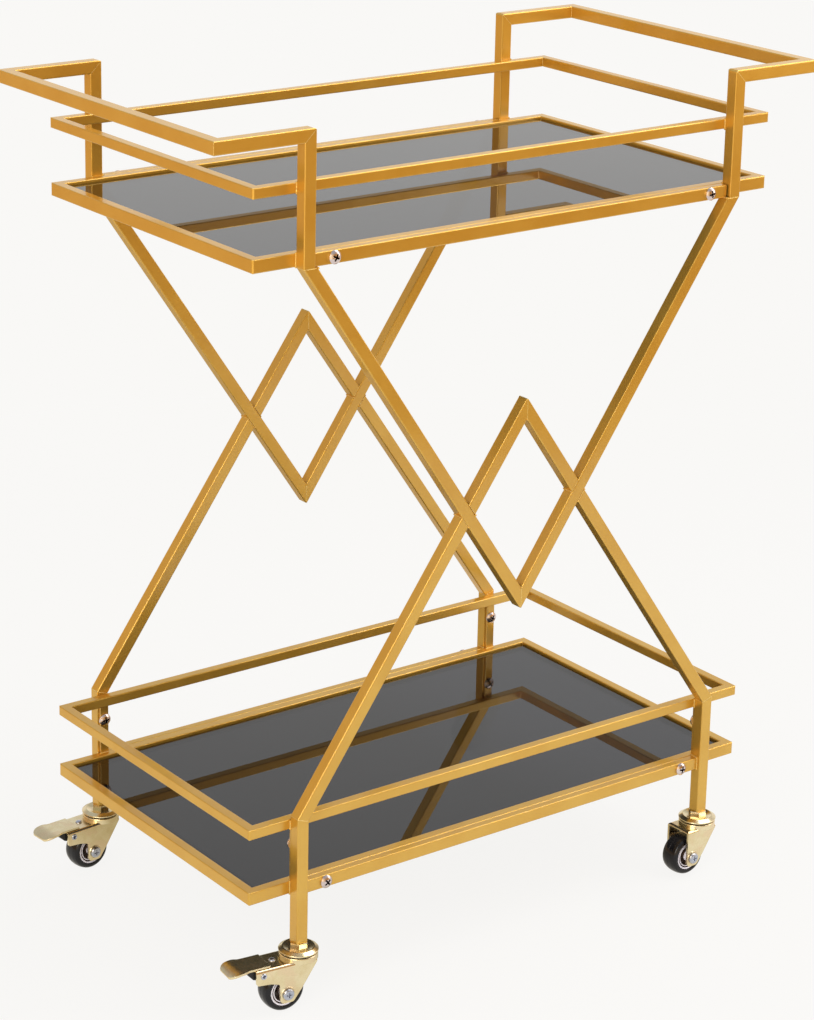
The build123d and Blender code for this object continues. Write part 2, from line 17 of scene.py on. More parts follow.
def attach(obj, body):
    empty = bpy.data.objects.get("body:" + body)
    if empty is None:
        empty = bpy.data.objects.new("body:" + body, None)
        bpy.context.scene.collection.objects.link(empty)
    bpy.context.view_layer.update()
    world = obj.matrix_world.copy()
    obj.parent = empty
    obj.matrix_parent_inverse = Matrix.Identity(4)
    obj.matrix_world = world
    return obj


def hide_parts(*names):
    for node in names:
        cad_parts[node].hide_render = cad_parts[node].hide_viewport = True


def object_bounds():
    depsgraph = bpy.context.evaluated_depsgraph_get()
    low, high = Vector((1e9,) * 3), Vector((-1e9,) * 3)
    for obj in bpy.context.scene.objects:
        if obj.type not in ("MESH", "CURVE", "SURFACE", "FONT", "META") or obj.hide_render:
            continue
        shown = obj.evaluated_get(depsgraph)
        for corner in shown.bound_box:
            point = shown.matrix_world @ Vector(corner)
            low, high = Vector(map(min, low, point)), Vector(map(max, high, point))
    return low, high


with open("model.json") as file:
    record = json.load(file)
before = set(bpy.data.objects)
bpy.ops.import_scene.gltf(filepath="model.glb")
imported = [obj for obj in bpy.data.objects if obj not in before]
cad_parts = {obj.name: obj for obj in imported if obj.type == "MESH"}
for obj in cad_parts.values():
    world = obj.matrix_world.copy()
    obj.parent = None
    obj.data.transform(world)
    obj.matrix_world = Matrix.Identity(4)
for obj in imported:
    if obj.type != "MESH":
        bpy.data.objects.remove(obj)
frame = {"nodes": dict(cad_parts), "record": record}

bpy.context.view_layer.update()
frame_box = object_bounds()
nodes = frame["nodes"]
joints = {joint["name"]: joint for joint in frame["record"]["behaviour"]["joints"]}
mm = 0.001
up = Vector((0, 0, 1))
print("frame box", [round(v, 4) for corner in frame_box for v in corner])

# %% [markdown]
# ## Camera
# The picture was taken from above the cart's front left, through a long lens. Straight edges of
# the real cart fix the place, the three angles and the focal length. Focal length in pixels
# becomes millimetres on a sensor whose long side is the picture's height. A small shift keeps
# the cart where it stood in the picture without turning the camera.

# %% Camera
image_width = 814
image_height = 1020
sensor = 36
focal_pixels = 2899.2
principal_x = 365
principal_y = 360
camera_place = Vector((-1.6717, -2.2004, 1.3827))
camera_heading = radians(36.315)
camera_tilt = radians(16.752)
camera_roll = radians(0.984)


def camera_turn():
    """Rotation of a camera that looks along its heading, tilted down and rolled."""
    forward = Vector((sin(camera_heading) * cos(camera_tilt),
                      cos(camera_heading) * cos(camera_tilt), -sin(camera_tilt)))
    level_right = Vector((cos(camera_heading), -sin(camera_heading), 0))
    level_up = level_right.cross(forward)
    right = cos(camera_roll) * level_right + sin(camera_roll) * level_up
    upward = cos(camera_roll) * level_up - sin(camera_roll) * level_right
    return Matrix((right, upward, -forward)).transposed()


camera_data = bpy.data.cameras.new("camera")
camera_data.sensor_width = sensor
camera_data.lens = focal_pixels / image_height * sensor
camera_data.shift_x = (image_width / 2 - principal_x) / image_height
camera_data.shift_y = (principal_y - image_height / 2) / image_height
camera = bpy.data.objects.new("camera", camera_data)
camera.matrix_world = Matrix.Translation(camera_place) @ camera_turn().to_4x4()
bpy.context.scene.collection.objects.link(camera)
bpy.context.scene.camera = camera
bpy.context.scene.view_settings.view_transform = "Standard"
print("lens", round(camera_data.lens, 1), "shift", round(camera_data.shift_x, 4),
      round(camera_data.shift_y, 4))

# %% [markdown]
# ## Small helpers for shader nodes
# Every finish below is a handful of nodes. These helpers turn picture colours into the linear
# values that shaders use, make a node and set its inputs in one call, and build a shared group
# with named sockets. A group is built once and placed in each material with that material's own
# values, which keeps one kind of grain or wear alike on all of them. The node that mixes colours
# repeats its socket names for every kind of value, so its sockets are called by number.

# %% Shader helpers
picture_steps = 255
dark_end = 0.04045
dark_slope = 12.92
light_offset = 0.055
light_power = 2.4
first_colour = 6
second_colour = 7
mixed_colour = 2


def tone(red, green, blue):
    """Linear colour from one in the 0 to 255 steps of a picture."""
    linear = []
    for value in (red, green, blue):
        share = value / picture_steps
        if share <= dark_end:
            linear.append(share / dark_slope)
        else:
            linear.append(((share + light_offset) / (1 + light_offset)) ** light_power)
    return (*linear, 1)


def connect(tree, node, inputs):
    """Node with its inputs set, each to a value or to another node's output."""
    for key, value in inputs.items():
        if isinstance(value, bpy.types.NodeSocket):
            tree.links.new(value, node.inputs[key])
        else:
            node.inputs[key].default_value = value
    return node


def add(tree, kind, inputs=None, **settings):
    """New node with its settings first, since they can bring sockets, and then its inputs."""
    node = tree.nodes.new(kind)
    for name, value in settings.items():
        setattr(node, name, value)
    return connect(tree, node, inputs or {})


def group_tree(name, kind, inputs, outputs):
    """Node group with named sockets, given as (name, socket type, starting value)."""
    tree = bpy.data.node_groups.new(name, kind)
    for socket_name, socket_type, value in inputs:
        socket = tree.interface.new_socket(socket_name, in_out="INPUT", socket_type=socket_type)
        if value is not None:
            socket.default_value = value
    for socket_name, socket_type in outputs:
        tree.interface.new_socket(socket_name, in_out="OUTPUT", socket_type=socket_type)
    return tree, tree.nodes.new("NodeGroupInput"), tree.nodes.new("NodeGroupOutput")


def place(tree, shared, inputs):
    """Shared group, placed in a material with that material's own values."""
    return add(tree, "ShaderNodeGroup", inputs, node_tree=shared)


def new_material(name):
    """Material with an empty tree that holds its output and one Principled shader."""
    imported = bpy.data.materials.get(name)
    if imported:
        imported.name = name + "_plain"
    material = bpy.data.materials.new(name)
    material.use_nodes = True
    tree = material.node_tree
    tree.nodes.clear()
    shader = tree.nodes.new("ShaderNodeBsdfPrincipled")
    output = tree.nodes.new("ShaderNodeOutputMaterial")
    tree.links.new(shader.outputs["BSDF"], output.inputs["Surface"])
    return material, tree, shader


def math_node(tree, operation, first, second=0.0):
    """Output of one arithmetic step."""
    return add(tree, "ShaderNodeMath", {0: first, 1: second}, operation=operation).outputs[0]


def mix_colour(tree, factor, first, second):
    """Output of two colours mixed, through the sockets that the mixing node has for colours."""
    node = add(tree, "ShaderNodeMix", {0: factor, first_colour: first, second_colour: second},
               data_type="RGBA")
    return node.outputs[mixed_colour]


def remap(tree, value, span, new_span=(0, 1), way="LINEAR"):
    """Output of a value stretched from one span to another, held at the ends."""
    node = add(tree, "ShaderNodeMapRange",
               {"Value": value, "From Min": span[0], "From Max": span[1],
                "To Min": new_span[0], "To Max": new_span[1]}, interpolation_type=way)
    return node.outputs["Result"]


# %% [markdown]
# ## Studio
# The cart stands in a white studio. Three large soft lamps light it: a tall one at the front
# left, a high one at the front right, whose light runs along every upper edge, and a weak one at
# the right. The white of the picture is not made by lamps: the room and the floor show their own
# pale colour to the camera, and only a share of the floor takes light, so that the cart still
# leaves a faint shadow on it. In reflections the room is warmer in front and at the left, and the
# floor under the cart carries a painted shade, because polished metal shows little else than its
# surroundings.

# %% Background
backdrop_white = tone(249, 248, 246)
room_front = (0.56, 0.27, 0.05, 1)
room_left = (0.8, 0.52, 0.28, 1)
room_corner = (1.5, 1.25, 0.85, 1)
room_top = (0.5, 0.51, 0.54, 1)
room_light = (0.93, 0.94, 0.96, 1)
room_strength = 0.62
front_span = (0.1, -0.75)
left_span = (0, -0.5)
top_span = (0.3, 0.6)

world = bpy.data.worlds.new("studio")
world.use_nodes = True
bpy.context.scene.world = world


def build_world(tree):
    """Room that is white behind, warm in front and left, grey above, and plain as a light."""
    tree.nodes.clear()
    direction = add(tree, "ShaderNodeTexCoord").outputs["Generated"]
    parts = add(tree, "ShaderNodeSeparateXYZ", {0: direction})
    frontness = remap(tree, parts.outputs["Y"], front_span)
    leftness = remap(tree, parts.outputs["X"], left_span)
    seen = mix_colour(tree, leftness, backdrop_white, room_left)
    seen = mix_colour(tree, frontness, seen, room_front)
    seen = mix_colour(tree, math_node(tree, "MULTIPLY", leftness, frontness), seen, room_corner)
    upness = remap(tree, parts.outputs["Z"], top_span)
    seen = mix_colour(tree, upness, seen, room_top)
    path = add(tree, "ShaderNodeLightPath")
    direct = math_node(tree, "MAXIMUM", path.outputs["Is Camera Ray"],
                       path.outputs["Is Transmission Ray"])
    shown = mix_colour(tree, direct, seen, backdrop_white)
    visible = math_node(tree, "MAXIMUM", direct, path.outputs["Is Glossy Ray"])
    colour = mix_colour(tree, visible, room_light, shown)
    strength = remap(tree, visible, (0, 1), (room_strength, 1))
    sky = add(tree, "ShaderNodeBackground", {"Color": colour, "Strength": strength})
    output = tree.nodes.new("ShaderNodeOutputWorld")
    tree.links.new(sky.outputs[0], output.inputs["Surface"])


build_world(world.node_tree)
print("world nodes", len(world.node_tree.nodes))

# %% Floor
floor_radius = 1.7
floor_sides = 96
shadow_share = 0.06
shadow_fade = (0.9, 0.95 * floor_radius)
floor_left = (0.9, 0.8, 0.62, 1)
# Painted shade: darker floor colour under the cart, seen only in reflections.
floor_painted_shade = (0.52, 0.46, 0.33, 1)
floor_left_span = (-0.2, -0.6)
floor_back_span = (-0.3, -0.1)
painted_shade_span = (0.34, 0.2)
paper_light = tone(250, 249, 247)
paper_dark = tone(247, 246, 244)
paper_cells = 90


def build_floor():
    """Round floor whose rim melts into the background."""
    mesh = bpy.data.meshes.new("studio_floor")
    draft = bmesh.new()
    bmesh.ops.create_circle(draft, cap_ends=True, segments=floor_sides, radius=floor_radius)
    draft.to_mesh(mesh)
    draft.free()
    floor = bpy.data.objects.new("studio_floor", mesh)
    bpy.context.scene.collection.objects.link(floor)
    return floor


def floor_material():
    """Own pale colour for camera and reflections, a painted shade under the cart in reflections,
    and a share near the cart that takes shadow.
    """
    material = bpy.data.materials.new("studio_floor")
    material.use_nodes = True
    tree = material.node_tree
    tree.nodes.clear()
    spot = add(tree, "ShaderNodeTexCoord").outputs["Object"]
    distance = add(tree, "ShaderNodeVectorMath", {0: spot}, operation="LENGTH").outputs["Value"]
    near = remap(tree, distance, shadow_fade, (shadow_share, 0))
    parts = add(tree, "ShaderNodeSeparateXYZ", {0: spot})
    leftness = remap(tree, parts.outputs["X"], floor_left_span)
    backness = remap(tree, parts.outputs["Y"], floor_back_span)
    aside = math_node(tree, "ABSOLUTE", parts.outputs["X"])
    painted_shade_mask = remap(tree, aside, painted_shade_span)
    grain = add(tree, "ShaderNodeTexNoise", {"Vector": spot, "Scale": paper_cells, "Detail": 4})
    paper = mix_colour(tree, grain.outputs["Fac"], paper_light, paper_dark)
    path = add(tree, "ShaderNodeLightPath")
    reflected = math_node(tree, "MULTIPLY", path.outputs["Is Glossy Ray"], backness)
    own = mix_colour(tree, leftness, backdrop_white, floor_left)
    # Painted shade under the cart, in reflections only.
    own = mix_colour(tree, painted_shade_mask, own, floor_painted_shade)
    own = mix_colour(tree, reflected, backdrop_white, own)
    glow = add(tree, "ShaderNodeEmission", {"Color": own, "Strength": 1})
    matt = add(tree, "ShaderNodeBsdfDiffuse", {"Color": paper})
    seen = add(tree, "ShaderNodeMixShader", {0: near, 1: glow.outputs[0], 2: matt.outputs[0]})
    direct = math_node(tree, "MAXIMUM", path.outputs["Is Camera Ray"],
                       path.outputs["Is Glossy Ray"])
    direct = math_node(tree, "MAXIMUM", direct, path.outputs["Is Transmission Ray"])
    both = add(tree, "ShaderNodeMixShader", {0: direct, 1: matt.outputs[0], 2: seen.outputs[0]})
    output = tree.nodes.new("ShaderNodeOutputMaterial")
    tree.links.new(both.outputs[0], output.inputs["Surface"])
    return material


floor = build_floor()
floor.data.materials.append(floor_material())
print("floor radius", floor_radius)

# %% Lamps
cart_middle = (frame_box[0] + frame_box[1]) / 2


def soft_lamp(name, spot, width, height, power, colour):
    """Rectangular lamp that faces the middle of the cart."""
    data = bpy.data.lights.new(name, "AREA")
    data.shape = "RECTANGLE"
    data.size = width
    data.size_y = height
    data.energy = power
    data.color = colour
    lamp = bpy.data.objects.new(name, data)
    towards = (cart_middle - Vector(spot)).normalized()
    turn = towards.to_track_quat("-Z", "Y").to_matrix().to_4x4()
    lamp.matrix_world = Matrix.Translation(spot) @ turn
    bpy.context.scene.collection.objects.link(lamp)
    return lamp


warm_white = (1, 0.95, 0.88)
plain_white = (1, 0.99, 0.97)
lamps = [
    soft_lamp("left_lamp", (-2.3, -1.3, 1.5), width=1.3, height=1.8, power=34, colour=warm_white),
    soft_lamp("top_lamp", (1.3, -0.5, 2.6), width=1.6, height=1.6, power=40, colour=plain_white),
    soft_lamp("right_lamp", (2.2, -1.5, 1.3), width=1.2, height=1.6, power=14, colour=plain_white),
]
print("lamps", [(lamp.name, lamp.data.energy) for lamp in lamps])

# %% [markdown]
# ## Shared surface effects
# Four effects return on many surfaces. Grain is the fine relief of sprayed paint, moulded
# plastic or rolled steel. Soft edges make a sharp fold catch the light as a real one does, and
# mark it for a painted highlight. Patches vary colour and gloss slowly, as plating and handling
# do.
# Dust lies on what faces up. Each is a group that gives out only values, colours or normals.

# %% Grain
wave_ratio = 0.22


def build_grain():
    """Fine relief as a height, from a cell size in metres and a share of larger waves."""
    tree, inputs, outputs = group_tree(
        "surface_grain", "ShaderNodeTree",
        [("Cell Size", "NodeSocketFloat", 0.001), ("Stretch", "NodeSocketVector", (1, 1, 1)),
         ("Waviness", "NodeSocketFloat", 0.3)],
        [("Height", "NodeSocketFloat")])
    spot = add(tree, "ShaderNodeTexCoord").outputs["Object"]
    spot = add(tree, "ShaderNodeVectorMath", {0: spot, 1: inputs.outputs["Stretch"]},
               operation="MULTIPLY").outputs["Vector"]
    scale = math_node(tree, "DIVIDE", 1.0, inputs.outputs["Cell Size"])
    fine = add(tree, "ShaderNodeTexNoise", {"Vector": spot, "Scale": scale, "Detail": 2})
    wide_scale = math_node(tree, "MULTIPLY", scale, wave_ratio)
    wide = add(tree, "ShaderNodeTexNoise", {"Vector": spot, "Scale": wide_scale, "Detail": 1})
    wave = math_node(tree, "MULTIPLY", wide.outputs["Fac"], inputs.outputs["Waviness"])
    height = math_node(tree, "ADD", fine.outputs["Fac"], wave)
    tree.links.new(height, outputs.inputs["Height"])
    return tree


surface_grain = build_grain()
print("grain nodes", len(surface_grain.nodes))

# %% Soft edges
bevel_samples = 4
edge_span = (0.985, 0.8)


def build_soft_edges():
    """Normal that rounds an edge, and a mask of where it does."""
    tree, inputs, outputs = group_tree(
        "soft_edges", "ShaderNodeTree", [("Radius", "NodeSocketFloat", 0.0005)],
        [("Normal", "NodeSocketVector"), ("Edge", "NodeSocketFloat")])
    rounded = add(tree, "ShaderNodeBevel", {"Radius": inputs.outputs["Radius"]},
                  samples=bevel_samples)
    facing = add(tree, "ShaderNodeNewGeometry").outputs["Normal"]
    likeness = add(tree, "ShaderNodeVectorMath", {0: rounded.outputs[0], 1: facing},
                   operation="DOT_PRODUCT").outputs["Value"]
    edge = remap(tree, likeness, edge_span)
    tree.links.new(rounded.outputs[0], outputs.inputs["Normal"])
    tree.links.new(edge, outputs.inputs["Edge"])
    return tree


soft_edges = build_soft_edges()
print("edge nodes", len(soft_edges.nodes))

# %% Patches and dust
cloud_span = (0.25, 0.75)
cloud_roughness = 0.55
second_cloud = (3.1, 1.7, 5.3)
lying_span = (0.5, 1)
speck_cells = 420
speck_roughness = 0.7
speck_span = (0.45, 0.8)
least_dust = 0.25


def build_patches():
    """Slow change from place to place, between 0 and 1."""
    tree, inputs, outputs = group_tree(
        "patches", "ShaderNodeTree",
        [("Size", "NodeSocketFloat", 0.05), ("Contrast", "NodeSocketFloat", 0.5)],
        [("Value", "NodeSocketFloat"), ("Second", "NodeSocketFloat")])
    spot = add(tree, "ShaderNodeTexCoord").outputs["Object"]
    scale = math_node(tree, "DIVIDE", 1.0, inputs.outputs["Size"])
    half = math_node(tree, "MULTIPLY", inputs.outputs["Contrast"], 0.5)
    low = math_node(tree, "SUBTRACT", 0.5, half)
    high = math_node(tree, "ADD", 0.5, half)
    for name, shift in (("Value", (0, 0, 0)), ("Second", second_cloud)):
        moved = add(tree, "ShaderNodeVectorMath", {0: spot, 1: shift}, operation="ADD")
        cloud = add(tree, "ShaderNodeTexNoise", {"Vector": moved.outputs[0], "Scale": scale,
                                                 "Detail": 3, "Roughness": cloud_roughness})
        value = remap(tree, cloud.outputs["Fac"], cloud_span, (low, high), "SMOOTHERSTEP")
        tree.links.new(value, outputs.inputs[name])
    return tree


def build_dust():
    """Thin uneven dust on faces that look up."""
    tree, inputs, outputs = group_tree(
        "dust", "ShaderNodeTree", [("Amount", "NodeSocketFloat", 0.1)],
        [("Mask", "NodeSocketFloat")])
    facing = add(tree, "ShaderNodeNewGeometry").outputs["Normal"]
    upward = add(tree, "ShaderNodeSeparateXYZ", {0: facing}).outputs["Z"]
    lying = remap(tree, upward, lying_span)
    spot = add(tree, "ShaderNodeTexCoord").outputs["Object"]
    specks = add(tree, "ShaderNodeTexNoise", {"Vector": spot, "Scale": speck_cells,
                                              "Detail": 5, "Roughness": speck_roughness})
    uneven = remap(tree, specks.outputs["Fac"], speck_span, (least_dust, 1))
    mask = math_node(tree, "MULTIPLY", lying, uneven)
    mask = math_node(tree, "MULTIPLY", mask, inputs.outputs["Amount"])
    tree.links.new(mask, outputs.inputs["Mask"])
    return tree


patches = build_patches()
dust = build_dust()
print("patch nodes", len(patches.nodes), "dust nodes", len(dust.nodes))

# %% [markdown]
# ## One recipe for hard surfaces
# Paint, plating, rubber and plastic are built alike: a colour that drifts from patch to patch,
# a painted highlight on the edges, a little dust, a painted shade in a recess where one is marked
# on the mesh, and a gloss that drifts as well. The finishes below bring only their own values.

# %% Hard surface
dust_grey = tone(205, 200, 190)
fine_edge = 0.0004
third_span = (0.45, 0.9)


def hard_surface(name, colours, gloss, patch, grain, depth, dust_amount, fixed,
                 edge_radius=fine_edge, edge_colour=None, highlight_share=0.6, recess_colour=None):
    """Material that drifts between colours and gloss, with a painted edge highlight, dust, a
    painted recess shade and relief.
    """
    material, tree, shader = new_material(name)
    edges = place(tree, soft_edges, {"Radius": edge_radius})
    skin = place(tree, surface_grain, grain)
    slow = place(tree, patches, patch)
    lying = place(tree, dust, {"Amount": dust_amount})
    colour = mix_colour(tree, slow.outputs["Value"], colours[0], colours[1])
    if len(colours) > 2:
        third = remap(tree, slow.outputs["Second"], third_span)
        colour = mix_colour(tree, third, colour, colours[2])
    # Painted highlight: a given colour mixed in along the edges.
    if edge_colour:
        edge_highlight = math_node(tree, "MULTIPLY", edges.outputs["Edge"], highlight_share)
        colour = mix_colour(tree, edge_highlight, colour, edge_colour)
    colour = mix_colour(tree, lying.outputs["Mask"], colour, dust_grey)
    # Painted shade: a dark colour mixed in where a recess is marked.
    if recess_colour:
        marked = add(tree, "ShaderNodeAttribute", attribute_name="recess").outputs["Fac"]
        colour = mix_colour(tree, marked, colour, recess_colour)
    shine = remap(tree, slow.outputs["Second"], (0, 1), gloss)
    shine = math_node(tree, "ADD", shine, lying.outputs["Mask"])
    relief = add(tree, "ShaderNodeBump", {"Height": skin.outputs["Height"], "Distance": depth,
                                          "Strength": 1, "Normal": edges.outputs["Normal"]})
    connect(tree, shader, {"Base Color": colour, "Roughness": shine,
                           "Normal": relief.outputs["Normal"], **fixed})
    return material


finishes = {}
print("dust", [round(value, 3) for value in dust_grey])

# %% [markdown]
# ## Gold paint
# The tubes are sprayed with a metallic gold and a clear satin coat. Under grazing light such a
# paint shows orange peel, a faint ripple about a millimetre wide. Part of it is pigment, which
# stays orange where the surroundings are dark, and part is metal flake, which turns yellow where
# they are bright. The clear coat puts a thin white sheen on faces that are seen at a slant, which
# is why the tops look paler than the sides. Along every edge a paler gold is a painted highlight.

# %% Gold paint
gold_body = tone(219, 174, 74)
gold_deep = tone(212, 164, 63)
# Painted highlight: the paler gold laid along every edge.
gold_painted_highlight = tone(255, 230, 150)
gold_sheen = tone(255, 224, 150)
gold_coat = {"Metallic": 0.72, "Specular Tint": gold_sheen, "Coat Weight": 0.8,
             "Coat Roughness": 0.12}

finishes["gold_paint"] = hard_surface(
    "gold_paint", [gold_body, gold_deep], gloss=(0.3, 0.36),
    patch={"Size": 0.06, "Contrast": 0.9}, grain={"Cell Size": 0.0012, "Waviness": 0.8},
    depth=0.00001, dust_amount=0.03, fixed=gold_coat, edge_radius=0.001,
    edge_colour=gold_painted_highlight, highlight_share=0.9)
print("gold paint nodes", len(finishes["gold_paint"].node_tree.nodes))

# %% [markdown]
# ## Smoked glass
# Both shelves are sheets of dark tempered glass. They swallow nearly all the light that goes in,
# so what shows is the mirror image of the room, weak from above and strong at a slant. That is
# what plain glass does with dark colour in its body: no picture of the room is needed. A few
# wiping streaks change the gloss by a hair.

# %% Smoked glass
glass_body = tone(40, 40, 44)
streak_grain = {"Cell Size": 0.02, "Stretch": (0.25, 1, 1), "Waviness": 1}
streak_span = (0.6, 1.2)
glass_gloss = (0.002, 0.012)
glass_dust = 0.006
glass_light = {"Metallic": 0, "IOR": 1.5, "Transmission Weight": 0.9}


def smoked_glass():
    """Dark glass with faint wiping streaks."""
    material, tree, shader = new_material("smoked_glass")
    streaks = place(tree, surface_grain, streak_grain)
    lying = place(tree, dust, {"Amount": glass_dust})
    gloss = remap(tree, streaks.outputs["Height"], streak_span, glass_gloss)
    gloss = math_node(tree, "ADD", gloss, lying.outputs["Mask"])
    colour = mix_colour(tree, lying.outputs["Mask"], glass_body, dust_grey)
    connect(tree, shader, {"Base Color": colour, "Roughness": gloss, **glass_light})
    return material


finishes["smoked_glass"] = smoked_glass()
print("glass nodes", len(finishes["smoked_glass"].node_tree.nodes))

# %% [markdown]
# ## Plated steel
# Three platings meet on the casters and screws. Nickel is warm and bright, clear zinc is bluish,
# and yellow zinc shifts between straw, green and pink within a few centimetres. The balls of the
# swivels are bare and polished. All are plain metal to light, so one function makes them from
# two or three colours, a gloss and the size of their patches.

# %% Plated steel
plate_grain = {"Cell Size": 0.0006, "Waviness": 0.6}
plate_relief = 0.000012
plate_dust = 0.03
plate_drift = 0.08
nickel_tones = [tone(226, 212, 206), tone(208, 192, 188)]
# Painted shade: dark colour for the walls and floor of the screws' cross recess.
nickel_recess_shade = tone(44, 38, 36)
blue_tones = [tone(196, 200, 210), tone(178, 184, 198)]
yellow_tones = [tone(240, 226, 186), tone(228, 210, 164), tone(234, 212, 172)]
# Painted highlight: a paler zinc colour along every edge of the yellow zinc.
yellow_painted_highlight = tone(250, 236, 196)
bearing_tones = [tone(186, 188, 190), tone(168, 170, 172)]


def plated(name, colours, gloss, patch_size, contrast, **marks):
    """Sheet or turned steel with a fine rolled grain."""
    finishes[name] = hard_surface(
        name, colours, gloss=(gloss, gloss + plate_drift),
        patch={"Size": patch_size, "Contrast": contrast}, grain=plate_grain, depth=plate_relief,
        dust_amount=plate_dust, fixed={"Metallic": 1}, **marks)


plated("nickel_steel", nickel_tones, gloss=0.14, patch_size=0.01, contrast=0.8,
       recess_colour=nickel_recess_shade)
plated("blue_zinc", blue_tones, gloss=0.24, patch_size=0.008, contrast=0.9)
plated("yellow_zinc", yellow_tones, gloss=0.17, patch_size=0.014, contrast=1,
       edge_colour=yellow_painted_highlight)
plated("bearing_steel", bearing_tones, gloss=0.12, patch_size=0.004, contrast=0.6)
print("finishes", list(finishes))

# %% [markdown]
# ## Rubber and plastic
# The tyres are polished black rubber with a fine parting line round the tread, the hubs are pale
# nylon, and the brake shoes are black nylon. None is metal: the gloss is a weak white reflection
# over the body colour. The hubs get a painted shade in their recess, because little light reaches
# the bottom of the deep groove between rim and middle.

# %% Rubber and plastic
moulded_patch = {"Size": 0.012, "Contrast": 0.9}
moulded_waviness = 0.5
moulded_dust = 0.08
moulded_drift = 0.1
rubber_tones = [tone(14, 13, 17), tone(20, 19, 23)]
hub_tones = [tone(252, 246, 252), tone(244, 238, 246)]
# Painted shade for the bottom of the hub's groove.
hub_recess_shade = tone(92, 74, 66)
shoe_tones = [tone(24, 24, 26), tone(32, 32, 34)]


def moulded(name, colours, gloss, grain_size, depth, sheen_level=0.5, **marks):
    """Moulded plastic or rubber with a fine skin."""
    finishes[name] = hard_surface(
        name, colours, gloss=(gloss, gloss + moulded_drift), patch=moulded_patch,
        grain={"Cell Size": grain_size, "Waviness": moulded_waviness}, depth=depth,
        dust_amount=moulded_dust, fixed={"Specular IOR Level": sheen_level}, **marks)


moulded("tyre_rubber", rubber_tones, gloss=0.1, grain_size=0.0005, depth=0.000004,
        sheen_level=0.38)
moulded("hub_plastic", hub_tones, gloss=0.26, grain_size=0.0006, depth=0.000006,
        recess_colour=hub_recess_shade)
moulded("black_plastic", shoe_tones, gloss=0.4, grain_size=0.0008, depth=0.00002)
print("finishes", len(finishes))

# %% [markdown]
# ## Finishes on the frame
# Each piece of the frame arrives with one slot, named after its finish. Filling the slot with the
# material of that name leaves the piece itself as it was.

# %% Give the frame its finishes
for piece in nodes.values():
    for slot in piece.material_slots:
        slot.material = finishes[slot.material.name.removesuffix("_plain")]
print("finished pieces", len(nodes))

# %% [markdown]
# ## Weld beads
# Where a tube meets another at a corner, the welder leaves a row of small overlapping drops, and
# the paint covers them. On outer faces they are ground flush, so they stay only in the inside
# corners. A row of drops along a line is what Geometry Nodes do well: the seams are plain edges,
# and the tree turns them into curves, spaces points along them and puts an uneven drop on each.

# %% Weld bead tree
drop_sides = 8
drop_rings = 5


def build_weld():
    """Row of uneven drops along every edge of the seams."""
    tree, inputs, outputs = group_tree(
        "weld_bead", "GeometryNodeTree",
        [("Seams", "NodeSocketGeometry", None), ("Drop Radius", "NodeSocketFloat", 0.001),
         ("Spacing", "NodeSocketFloat", 0.0009), ("Unevenness", "NodeSocketFloat", 0.2),
         ("Seed", "NodeSocketInt", 4), ("Finish", "NodeSocketMaterial", None)],
        [("Geometry", "NodeSocketGeometry")])
    given = inputs.outputs
    curve = add(tree, "GeometryNodeMeshToCurve", {"Mesh": given["Seams"]})
    row = add(tree, "GeometryNodeResampleCurve",
              {"Curve": curve.outputs[0], "Length": given["Spacing"]}, mode="LENGTH")
    drop = add(tree, "GeometryNodeMeshUVSphere",
               {"Segments": drop_sides, "Rings": drop_rings, "Radius": given["Drop Radius"]})
    small = math_node(tree, "SUBTRACT", 1.0, given["Unevenness"])
    large = math_node(tree, "ADD", 1.0, given["Unevenness"])
    size = add(tree, "FunctionNodeRandomValue", {2: small, 3: large, "Seed": given["Seed"]})
    drops = add(tree, "GeometryNodeInstanceOnPoints",
                {"Points": row.outputs[0], "Instance": drop.outputs["Mesh"],
                 "Scale": size.outputs[1]})
    whole = add(tree, "GeometryNodeRealizeInstances", {0: drops.outputs[0]})
    painted = add(tree, "GeometryNodeSetMaterial", {"Geometry": whole.outputs[0],
                                                    "Material": given["Finish"]})
    tree.links.new(painted.outputs[0], outputs.inputs["Geometry"])
    return tree


def grown_mesh(name, source, shared, settings, sharp_angle):
    """Plain mesh that a node group makes from a source mesh, smooth up to an angle."""
    maker = bpy.data.objects.new(name + "_source", source)
    bpy.context.scene.collection.objects.link(maker)
    modifier = maker.modifiers.new(shared.name, "NODES")
    modifier.node_group = shared
    for item in shared.interface.items_tree:
        if item.name in settings and item.in_out == "INPUT":
            modifier[item.identifier] = settings[item.name]
    evaluated = maker.evaluated_get(bpy.context.evaluated_depsgraph_get())
    mesh = bpy.data.meshes.new_from_object(evaluated)
    bpy.data.objects.remove(maker)
    mesh.name = name
    mesh.shade_smooth()
    mesh.set_sharp_from_angle(angle=radians(sharp_angle))
    return mesh


def new_piece(mesh, body, slot, replaced=()):
    """Add a finished mesh that rides on a body and may stand for pieces of the frame."""
    piece = bpy.data.objects.new(mesh.name, mesh)
    bpy.context.scene.collection.objects.link(piece)
    if not mesh.materials:
        mesh.materials.append(finishes[slot])
    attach(piece, body)
    if replaced:
        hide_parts(*replaced)


weld_bead = build_weld()
print("weld nodes", len(weld_bead.nodes))

# %% Where the seams run


def band(bottom, height):
    """Levels between which a level tube lies."""
    return bottom, bottom + height


